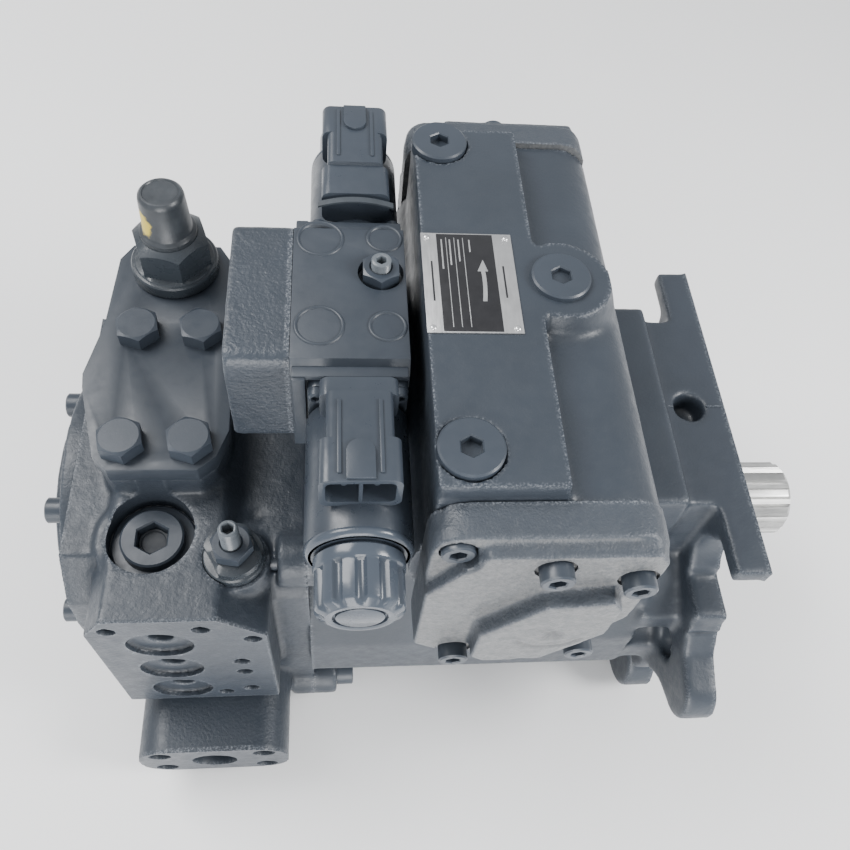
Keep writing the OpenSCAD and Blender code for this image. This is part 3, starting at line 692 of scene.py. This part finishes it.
def stroking_cover(side, sign):
    node = side + "_stroking_cover"
    low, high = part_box(node)
    inner, face = (high.y, low.y) if sign < 0 else (low.y, high.y)
    planes = [(1, inner)]
    screws = [s for s, _ in islands("stroking_cover_screws") if s.y * sign > 0]
    corner = max(screws, key=lambda s: s.z)
    seats = [(1, (s.x, s.z), 7.2 * MM if s is corner else 8 * MM, LOW, HIGH) for s in screws]
    pad_x, pad_mid = low.x + 0.60 * (high.x - low.x), low.z + 0.42 * (high.z - low.z)

    def soften(co):
        return away(co, planes) * outside(co, seats, 0.5 * MM)

    def extra(bm):
        # the wall round the corner screw's pocket, which is too thin there to mesh
        wall = [(7.2, -0.5), (9.4, -0.5), (9.4, 5.6), (8.8, 6.2), (7.2, 6.2), (7.2, -0.5)]
        seat = Vector((corner.x, corner.y - sign * 4 * MM, corner.z))
        turned(bm, wall, seat, "-Y" if sign < 0 else "Y")

    def dent(co):
        # the gate mark in the middle of the raised pad, and the arc of a die insert below it
        on_pad = np.abs(co[:, 1] - face) < 2 * MM
        dist = np.hypot(co[:, 0] - pad_x, co[:, 2] - pad_mid) / MM
        mark = 1.7 * np.exp(-((dist / 3.4) ** 2)) - 0.3 * np.exp(-(((dist - 6.2) / 1.4) ** 2))
        below = np.clip((pad_mid - co[:, 2]) / MM - 3.0, 0, 4) / 4
        mark = mark + 0.9 * below * np.exp(-(((dist - 15) / 1.3) ** 2))
        push = np.zeros_like(co)
        push[:, 1] = -sign * mark * on_pad * MM
        return push

    cast(
        node, soften, planes, seats, rounds=12, extra=extra, dent=dent, ripple_mm=0.45,
        voxel=voxel_size(1.0),
    )


def small_castings():
    inner = [(0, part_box("control_rear_block")[1].x)]
    cast(
        "control_rear_block", lambda co: away(co, inner), inner, rounds=9, ripple_mm=0.35,
        voxel=voxel_size(1.0),
    )
    seat = [(0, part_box("rear_cap")[1].x)]
    holes = [(0, (s.y, s.z), 4.5 * MM, LOW, HIGH) for s, _ in islands("rear_cap_screws")]
    cast(
        "rear_cap", lambda co: away(co, seat) * outside(co, holes, 0.5 * MM), seat, holes,
        rounds=6, ripple_mm=0.2,
    )


# ---- machined and bought-in pieces -------------------------------------------


def raise_face(bm, verts, height_mm):
    """A flat face on these points, raised into a closed block."""
    face = bm.faces.new(verts)
    for v in bmesh.ops.extrude_face_region(bm, geom=[face])["geom"]:
        if isinstance(v, bmesh.types.BMVert):
            v.co.z += height_mm * MM


def cover_bolts():
    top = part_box("cover_plate")[1].z
    bm = bmesh.new()
    for middle, _ in islands("cover_plate_bolts"):
        spot = Vector((middle.x, middle.y, top))
        turned(bm, hex_bolt(19, 8), spot, spin=math.radians(12))
        turned(bm, [(0, 0.2), (6, 0.2), (6, -26), (0, -26)], spot, steps=48)
    piece = closed(bm, "cover_plate_bolts_skin", FINISHES["painted_fastener"], 20)
    stand_for(piece, "cover_plate_bolts")


def screws(node, radius, height, socket, axis=None, shank=0.0, shank_r=0.0):
    """Socket screws where a CAD node has its solids, with their heads pointing along axis.

    Without an axis they point outward along Y.
    """
    bm = bmesh.new()
    for middle, half in islands(node):
        point = axis or ("-Y" if middle.y < 0 else "Y")
        sign = -1 if point.startswith("-") else 1
        k = "XYZ".index(point[-1])
        head = middle.copy()
        head[k] = middle[k] + sign * (half[k] - height * MM)
        turned(bm, socket_screw(radius, height, socket), head, point, steps=60)
        if shank:
            turned(bm, [(0, 0.1), (shank_r, 0.1), (shank_r, -shank), (0, -shank)], head, point, steps=36)
    stand_for(closed(bm, node + "_skin", FINISHES[slot_of[node]], 28), node)


def pressure_plugs():
    side = hexagon(8)
    rings = [
        (0, 1.2), (side, 1.5), (side, 4.9), (lambda a: side(a) + 0.5, 5.5), (11.9, 5.5), (12.7, 4.8),
        (12.7, 0), (0, 0),
    ]
    spots = [Vector((p.x, p.y, p.z - h.z)) for p, h in plugs]
    stand_in("pressure_port_plugs", rings, spots, FINISHES["painted_plug"], limit_deg=25)


def gallery_plug():
    at, side = foot_of("gallery_plug"), hexagon(13.9)
    rings = [
        (0, 0.4), (side, 1), (side, 7.2), (lambda a: side(a) + 0.7, 8), (13.8, 8), (14.7, 7.2),
        (14.7, 1.8), (19.2, 1.6), (20, 0.9), (20, 0), (0, 0),
    ]
    stand_in("gallery_plug", rings, at, FINISHES["painted_plug"], limit_deg=25)
    # painted shade: a near-black disc at the foot of its deep socket, where shade falls
    foot = [(0, 1.6), (5.4, 2.0), (5.9, 2.6), (6.6, 2.7), (6.6, 0.8), (0, 0.5)]
    go_with(solid("gallery_plug_socket_foot", foot, at, material=SOCKET_SHADE), "gallery_plug")


def relief_valve():
    side = hexagon(34)
    rings = [
        (0, 68), (14.4, 68), (15.6, 67.2), (side, lambda a: 67.2 - (side(a) - 15.6) * 0.75),
        (side, 50.4), (19.6, 50), (20.2, 49.5), (21.4, 49.3), (22, 48.5), (22, 43), (21.2, 42),
        (12, 42), (12, 0), (0, 0),
    ]
    stand_in(
        "relief_valve_body", rings, foot_of("relief_valve_body"), FINISHES["painted_valve"],
        steps=120, spin=math.radians(18), limit_deg=24,
    )
    rings = [
        (0, 25.3), (8.3, 25.3), (8.7, 25.9), (9.6, 25.8), (10.7, 24.7), (11.1, 23.0), (12.0, 4.2),
        (12.6, 3.4), (13.4, 3), (14, 2.2), (14, 0), (0, 0),
    ]
    stand_in("relief_valve_cap", rings, foot_of("relief_valve_cap"), CAP_PAINT, limit_deg=35)


def cutoff_valve():
    flat = lambda a: min(13.2, 10.6 / max(0.2, abs(math.cos(a - 0.5))))
    rings = [
        (4.5, 2), (4.5, 20.4), (5.4, 21), (9.6, 21), (flat, 20), (flat, 15.2), (13.4, 15), (14, 14.4),
        (14, 10.4), (13.4, 10), (12, 10), (12, 0), (4.5, 0), (4.5, 2),
    ]
    body, nut, stud = "cutoff_valve_body", "cutoff_adjuster_nut", "cutoff_adjuster_stud"
    stand_in(body, rings, foot_of(body), FINISHES["painted_valve"], limit_deg=25)
    stand_in(
        nut, hex_nut(17, 7, 4.5), foot_of(nut), FINISHES["painted_fastener"],
        spin=math.radians(20), limit_deg=24,
    )
    rings = threaded(4.45, 0, 38, 1.25, 0.6, bore=2.6, bore_depth=8)
    stand_in(stud, rings, foot_of(stud), FINISHES["painted_stud"], steps=60, limit_deg=60)


def neutral_adjuster():
    nut, stud = "neutral_adjuster_nut", "neutral_adjuster_stud"
    stand_in(nut, hex_nut(15, 9, 4.2), foot_of(nut), FINISHES["painted_fastener"], limit_deg=24)
    low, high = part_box(stud)
    rings = threaded(4.15, 0, (high.z - low.z) / MM, 1.0, 0.5, bore=2.2, bore_depth=6)
    stand_in(stud, rings, foot_of(stud), FINISHES["painted_stud"], steps=60, limit_deg=60)


def solenoid(side, sign):
    coil, nut = side + "_solenoid_coil", side + "_coil_nut"
    machined(coil, 0.7)
    axis = "-Y" if sign < 0 else "Y"
    low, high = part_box(coil)
    middle = centre_of(nut)
    end = Vector((middle.x, low.y if sign < 0 else high.y, middle.z))
    # the rolled lip round the coil's end
    lip = [
        (17.2, -1.2), (18.2, 0), (19.6, 0), (20.9, -1.4), (21, -3.4), (19.8, -4.2), (17.2, -4),
        (17.2, -1.2),
    ]
    go_with(solid(coil + "_lip", lip, end, axis, material=FINISHES["coil_nut"], limit_deg=60), coil)
    # fluted cap nut with a raised ring on its end
    flute = lambda a: 16.9 - 1.9 * max(0.0, math.cos(12 * a)) ** 0.6
    top = 24
    rings = [
        (0, top), (8.2, top), (9.0, top - 0.5), (9.2, top - 1.8), (10.0, top - 1.8), (10.3, top - 0.5),
        (11.0, top - 0.1), (12.7, top - 0.2), (13.3, top - 0.8), (lambda a: flute(a) - 0.9, top - 2.0),
        (flute, top - 3.4), (flute, 7.4), (lambda a: max(flute(a), 16.2), 6.6), (17.2, 6.2),
        (17.5, 5.8), (17.5, 1.6), (16.9, 1.0), (16, 0.15), (8.1, 0.15), (8.1, 12), (0, 12.0),
    ]
    stand_in(nut, rings, end, FINISHES["coil_nut"], axis=axis, steps=144, limit_deg=40)


def connector(side, sign):
    node = side + "_connector"
    machined(node, 0.55)
    low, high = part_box(node)
    mouth = low.y if sign < 0 else high.y
    middle_x, top = (low.x + high.x) / 2, high.z
    sunk = top - 0.3 * MM
    bm = bmesh.new()
    # arched latch tab over the mouth
    outline = [(-5.2, 0.6), (5.2, 0.6)]
    outline += [(5.2 * math.cos(a), 11.5 + 5.2 * math.sin(a)) for a in np.linspace(0, math.pi, 17)]
    tab = [bm.verts.new((middle_x + x * MM, mouth - sign * y * MM, sunk)) for x, y in outline]
    raise_face(bm, tab, 1.7)
    # two guide ribs from the latch to the foot
    y0, y1 = sorted((mouth - sign * 3 * MM, mouth - sign * 34 * MM))
    for x in (-7.6, 7.6):
        left, right = middle_x + (x - 0.8) * MM, middle_x + (x + 0.8) * MM
        box_into(bm, (left, y0, sunk), (right, y1, top + 0.8 * MM))
    go_with(closed(bm, node + "_latch", FINISHES["connector"], bevel_mm=0.4), node)


def connector_clip():
    """The spring clip at the foot of the far connector."""
    low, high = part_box("far_connector")
    middle_x, half = (low.x + high.x) / 2, (high.x - low.x) / 2 + 1.5 * MM
    section = ((-1.5, 0), (1.5, 0), (1.5, 0.9), (-1.5, 0.9))
    steps = 24
    bm = bmesh.new()
    rows = []
    for k in range(steps + 1):
        x = -1 + 2 * k / steps
        arch = 3.2 * MM * (1 - x * x)
        centre = Vector((middle_x + x * half, low.y - 3.5 * MM, high.z - 6.2 * MM + arch))
        rows.append([bm.verts.new(centre + Vector((0, dy * MM, dz * MM))) for dy, dz in section])
    for a, b in zip(rows, rows[1:]):
        for k in range(4):
            j = (k + 1) % 4
            bm.faces.new((a[k], a[j], b[j], b[k]))
    bm.faces.new(rows[0][::-1])
    bm.faces.new(rows[-1])
    go_with(closed(bm, "far_connector_clip", SPRING_CLIP), "far_connector")


def control_body():
    node = "control_valve_body"
    machined(node, 1.0)
    low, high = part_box(node)
    size = high - low
    # plain cast rings on the top face, placed by shares of its length and width
    bm = bmesh.new()
    for x, y, r in ((0.24, 0.87, 9.5), (0.24, 0.26, 9.5), (0.82, 0.88, 7.2), (0.82, 0.26, 7.2)):
        ridge = [
            (r - 1.0, -0.2), (r - 0.55, 0.5), (r, 0.75), (r + 0.55, 0.5), (r + 1.0, -0.2), (r - 1.0, -0.2),
        ]
        turned(bm, ridge, Vector((low.x + x * size.x, low.y + y * size.y, high.z)))
    go_with(closed(bm, "control_body_rings", FINISHES["control_body"], 60), node)
    # frame over each solenoid's flange: a bar along the top and an arm down its open side
    flange_top = high.z - 6 * MM
    flange_side = centre_of("near_solenoid_coil").x - 20 * MM
    left, right = low.x + 0.8 * MM, high.x - 0.8 * MM
    bars = (
        (left, right, flange_top + 0.4 * MM, flange_top + 3.4 * MM, 2.8 * MM),
        (left, flange_side - 0.7 * MM, low.z + 16 * MM, flange_top + 2.4 * MM, 4.2 * MM),
    )
    bm = bmesh.new()
    for sign, wall in ((-1, low.y), (1, high.y)):
        for x0, x1, z0, z1, proud in bars:
            y0, y1 = sorted((wall - sign * 2 * MM, wall + sign * proud))
            box_into(bm, (x0, y0, z0), (x1, y1, z1))
    go_with(closed(bm, "control_body_frame", FINISHES["control_body"], bevel_mm=0.6), node)


def nameplate():
    """A plain plate: a dark panel with blank bars, and an arrow for the direction of rotation."""
    machined("nameplate", 0.2)
    low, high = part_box("nameplate")
    size = high - low
    steel = FINISHES["nameplate"]

    def spot(x, y, lift):
        """A place by its shares of the plate's length and width, lifted that many mm off its face."""
        return low.x + x * size.x, low.y + y * size.y, high.z + lift * MM

    def strip(name, x0, x1, y0, y1, lift, material):
        bm = bmesh.new()
        box_into(bm, spot(x0, y0, -0.05), spot(x1, y1, lift))
        bevel_edges(bm, 0.04)
        go_with(add_piece(name, to_mesh(bm, name), material), "nameplate")

    strip("nameplate_panel", 0.17, 0.79, 0.012, 0.988, 0.12, PANEL_BLACK)
    for k, x in enumerate((0.27, 0.36, 0.455)):
        strip(f"nameplate_line_{k}", x, x + 0.008, 0.05, 0.95, 0.17, steel)
    # short bars where a plate of this kind is filled in
    fields = ((0.215, 0.62, 0.93), (0.305, 0.66, 0.93), (0.40, 0.70, 0.93), (0.52, 0.80, 0.93))
    for k, (x, y0, y1) in enumerate(fields):
        strip(f"nameplate_field_{k}", x, x + 0.016, y0, y1, 0.16, steel)
    for k, (x, y0, y1) in enumerate(((0.86, 0.34, 0.66), (0.09, 0.30, 0.70))):
        strip(f"nameplate_bar_{k}", x, x + 0.02, y0, y1, 0.06, PANEL_BLACK)

    def shaft_edge(side, y):
        return 0.63 + 0.022 * side + 0.02 * math.sin(math.pi * (y - 0.30) / 0.42), y

    along = np.linspace(0.30, 0.60, 9)
    outline = [shaft_edge(-1, y) for y in along]
    outline += [(0.585, 0.60), (0.655, 0.72), (0.70, 0.60)]
    outline += [shaft_edge(1, y) for y in along[::-1]]
    bm = bmesh.new()
    raise_face(bm, [bm.verts.new(spot(x, y, 0.1)) for x, y in outline], 0.07)
    go_with(closed(bm, "nameplate_arrow", steel), "nameplate")
    rings = [(0, 0.8), (0.6, 0.75), (1.1, 0.5), (1.4, 0.1), (1.4, 0), (0, 0)]
    rivets = [Vector((p.x, p.y, p.z - h.z)) for p, h in islands("nameplate_rivets")]
    stand_in("nameplate_rivets", rings, rivets, FINISHES["rivet"], steps=24, limit_deg=60)


def internals():
    """Everything inside keeps its CAD shape and gets its metal."""
    for name, node in nodes.items():
        if node.hide_render:
            continue
        node.data.materials.clear()
        node.data.materials.append(FINISHES[slot_of[name]])


housing()
parting_line()
end_cover()
for side, sign in SIDES:
    stroking_cover(side, sign)
small_castings()
cover_bolts()
screws("stroking_cover_screws", 6.5, 8, 6)
screws("rear_cap_screws", 6.5, 8, 6, "-X", 23, 4)
screws("end_cover_bolts", 8, 10, 8, "X", 33, 5)
screws("solenoid_flange_screws", 3.2, 4, 3)
pressure_plugs()
gallery_plug()
relief_valve()
cutoff_valve()
neutral_adjuster()
for side, sign in SIDES:
    solenoid(side, sign)
for side, sign in SIDES:
    connector(side, sign)
connector_clip()
control_body()
nameplate()
machined("cover_plate", 1.1)
machined("drive_shaft", 0.35)
internals()

# ---- floor and light ---------------------------------------------------------


# name, place, size across and watts
LAMPS = (
    ("front", (-0.30, -1.25, 0.22), 0.8, 18.0),
    ("right", (0.85, -0.35, 0.80), 0.45, 15.0),
    ("top", (-1.05, 0.35, 1.30), 0.9, 28.0),
)
SKY_COLOUR = (0.95, 0.97, 1.0)
SKY_STRENGTH = 0.8
FLOOR_HALF = 6
# the castings' ripple reaches 0.2 mm below the CAD box, so the floor lies just under that
FLOOR_DROP = 0.4 * MM


def add_floor():
    bm = bmesh.new()
    bmesh.ops.create_grid(bm, x_segments=1, y_segments=1, size=FLOOR_HALF)
    floor = add_piece("floor", to_mesh(bm, "floor"), None)
    floor.location.z = cad_box[0].z - FLOOR_DROP
    s = Shader("floor")
    tone = s.mix(s.spread(s.noise(400, 2.0), 0.3, 0.7), (0.93, 0.93, 0.93), (0.96, 0.96, 0.96))
    floor.data.materials[0] = s.finish(tone, 0.7)


def add_light():
    world = bpy.data.worlds.new("studio")
    bpy.context.scene.world = world
    world.use_nodes = True
    sky = world.node_tree.nodes["Background"]
    sky.inputs[0].default_value = (*SKY_COLOUR, 1)
    sky.inputs[1].default_value = SKY_STRENGTH
    middle = (cad_box[0] + cad_box[1]) / 2
    for name, place, size, watts in LAMPS:
        data = bpy.data.lights.new(name, "AREA")
        data.size = size
        data.energy = watts
        lamp = bpy.data.objects.new(name, data)
        lamp.location = place
        lamp.rotation_mode = "QUATERNION"
        lamp.rotation_quaternion = (middle - Vector(place)).to_track_quat("-Z", "Y")
        bpy.context.scene.collection.objects.link(lamp)


add_floor()
add_light()
